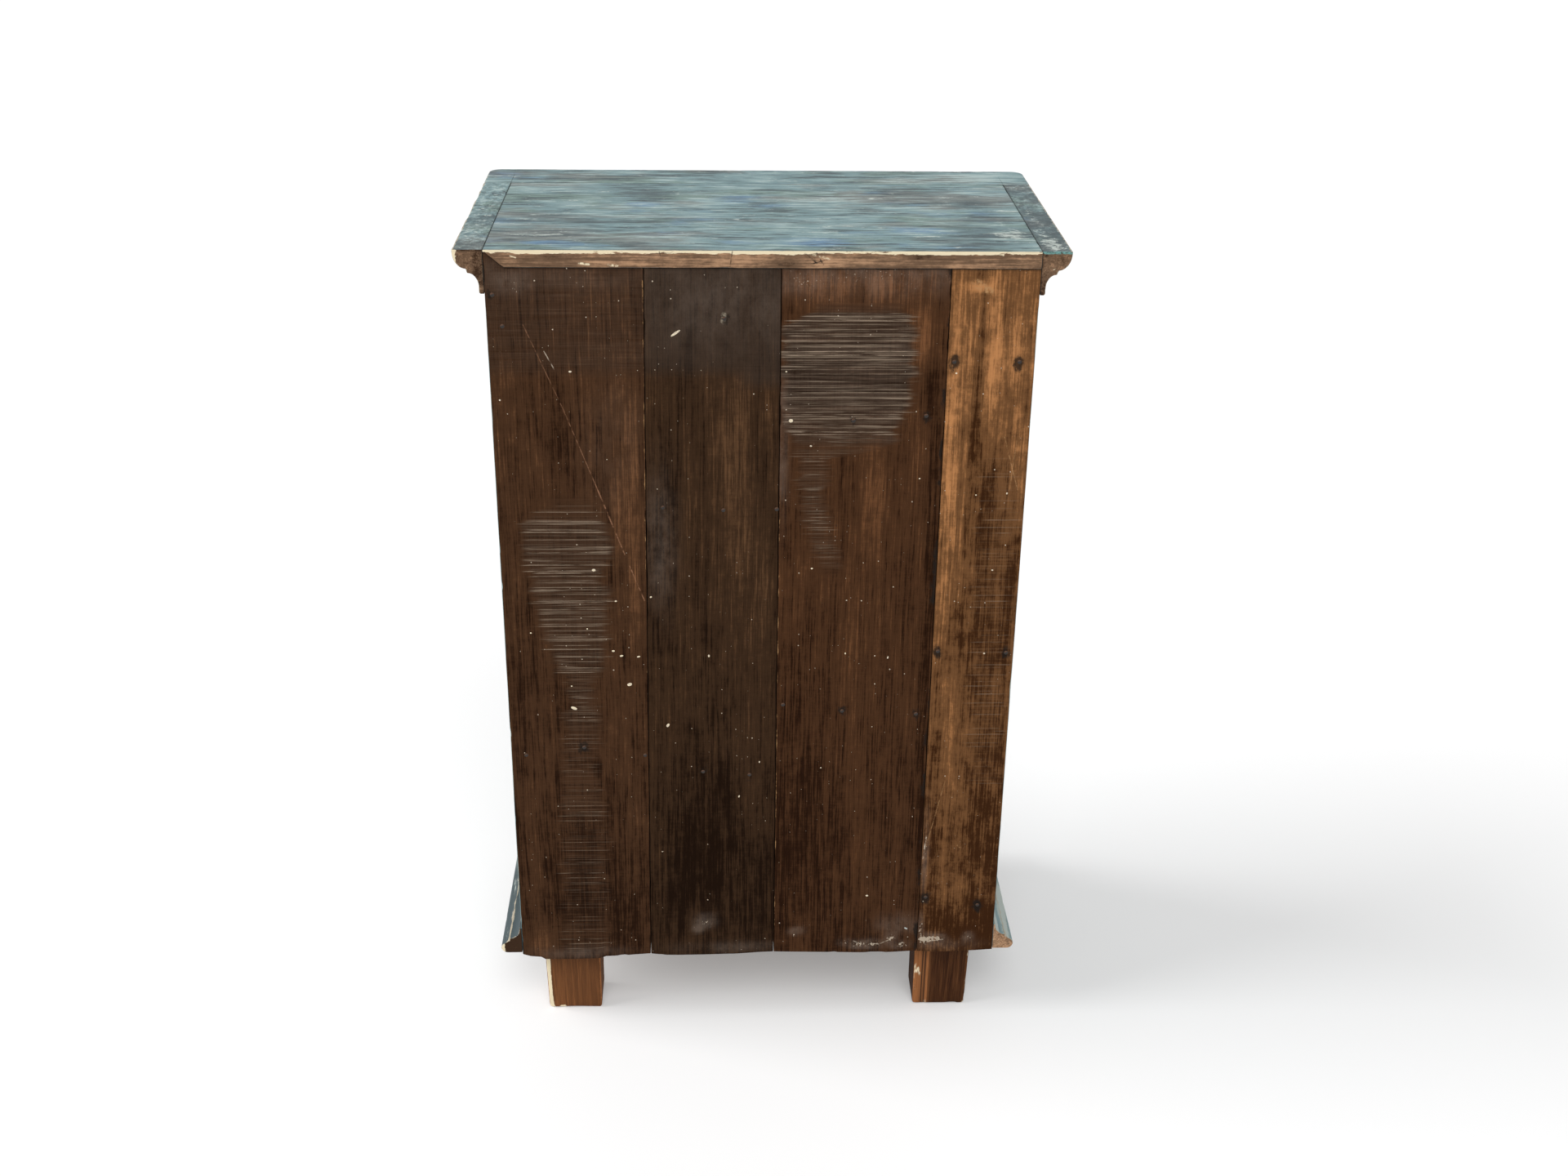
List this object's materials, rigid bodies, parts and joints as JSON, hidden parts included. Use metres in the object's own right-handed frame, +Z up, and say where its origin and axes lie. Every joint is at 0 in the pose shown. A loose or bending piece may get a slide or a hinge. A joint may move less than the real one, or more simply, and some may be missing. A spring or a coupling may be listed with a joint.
{
  "type": "low cabinet",
  "caption": "Low painted cabinet on block feet, with a crown moulding, a plank back, a fixed shelf and a pair of hinged panelled doors with ring pulls.",
  "frame": {"origin": "on the floor under the middle of the overall box", "axes": "+Z up; the doors face -Y and the plank back faces +Y; +X is the right of a person who stands in front of the doors"},
  "size_m": [0.59, 0.339, 0.9],
  "materials": {
    "painted_wood": "worn paint",
    "plank_red_brown": "raw, aged",
    "plank_black_brown": "raw, aged",
    "plank_chestnut": "raw, aged",
    "plank_honey": "raw, aged",
    "foot_wood": "raw, aged",
    "inner_wood": "raw",
    "dowel_wood": "raw",
    "blackened_iron": "matt"
  },
  "bodies": {
    "cabinet": {"back_plank_1": "plank_red_brown", "back_plank_2": "plank_black_brown", "back_plank_3": "plank_chestnut", "back_plank_4": "plank_honey", "back_rail_top": "inner_wood", "base_moulding_front": "painted_wood", "base_moulding_left": "painted_wood", "base_moulding_right": "painted_wood", "bottom_board": "inner_wood", "crown_left": "painted_wood", "crown_right": "painted_wood", "door_stop": "inner_wood", "foot_back_left": "foot_wood", "foot_back_right": "foot_wood", "foot_dowel_back_left": "dowel_wood", "foot_dowel_back_right": "dowel_wood", "foot_dowel_front_left": "dowel_wood", "foot_dowel_front_right": "dowel_wood", "foot_front_left": "foot_wood", "foot_front_right": "foot_wood", "front_rail_bottom": "painted_wood", "front_rail_top": "painted_wood", "front_stile_left": "painted_wood", "front_stile_right": "painted_wood", "hinge_left_lower_frame_leaf": "blackened_iron", "hinge_left_lower_pin": "blackened_iron", "hinge_left_upper_frame_leaf": "blackened_iron", "hinge_left_upper_pin": "blackened_iron", "hinge_right_lower_frame_leaf": "blackened_iron", "hinge_right_lower_pin": "blackened_iron", "hinge_right_upper_frame_leaf": "blackened_iron", "hinge_right_upper_pin": "blackened_iron", "shelf": "inner_wood", "shelf_cleat_left": "inner_wood", "shelf_cleat_right": "inner_wood", "side_panel_left": "painted_wood", "side_panel_right": "painted_wood", "top_front_board": "painted_wood", "top_panel": "painted_wood"},
    "door_left": {"door_left_hinge_stile": "painted_wood", "door_left_meeting_stile": "painted_wood", "door_left_top_rail": "painted_wood", "door_left_bottom_rail": "painted_wood", "door_left_panel": "painted_wood", "hinge_left_lower_door_leaf": "blackened_iron", "hinge_left_upper_door_leaf": "blackened_iron", "pull_plate_left": "blackened_iron", "pull_nut_left": "blackened_iron"},
    "door_right": {"door_right_hinge_stile": "painted_wood", "door_right_meeting_stile": "painted_wood", "door_right_top_rail": "painted_wood", "door_right_bottom_rail": "painted_wood", "door_right_panel": "painted_wood", "hinge_right_lower_door_leaf": "blackened_iron", "hinge_right_upper_door_leaf": "blackened_iron", "pull_plate_right": "blackened_iron", "pull_nut_right": "blackened_iron"},
    "ring_left": {"pull_ring_left": "blackened_iron"},
    "ring_right": {"pull_ring_right": "blackened_iron"}
  },
  "joints": [
    {"name": "door_left_hinge", "type": "hinge", "parent": "cabinet", "child": "door_left", "pos_m": [-0.22, -0.1444, 0.48635], "axis": [0, 0, -1], "range_deg": [0, 170]},
    {"name": "door_right_hinge", "type": "hinge", "parent": "cabinet", "child": "door_right", "pos_m": [0.22, -0.1444, 0.48635], "axis": [0, 0, 1], "range_deg": [0, 170]},
    {"name": "ring_left_swing", "type": "hinge", "parent": "door_left", "child": "ring_left", "pos_m": [-0.0222, -0.1492, 0.48635], "axis": [-1, 0, 0], "range_deg": [0, 160]},
    {"name": "ring_right_swing", "type": "hinge", "parent": "door_right", "child": "ring_right", "pos_m": [0.0222, -0.1492, 0.48635], "axis": [-1, 0, 0], "range_deg": [0, 160]}
  ]
}
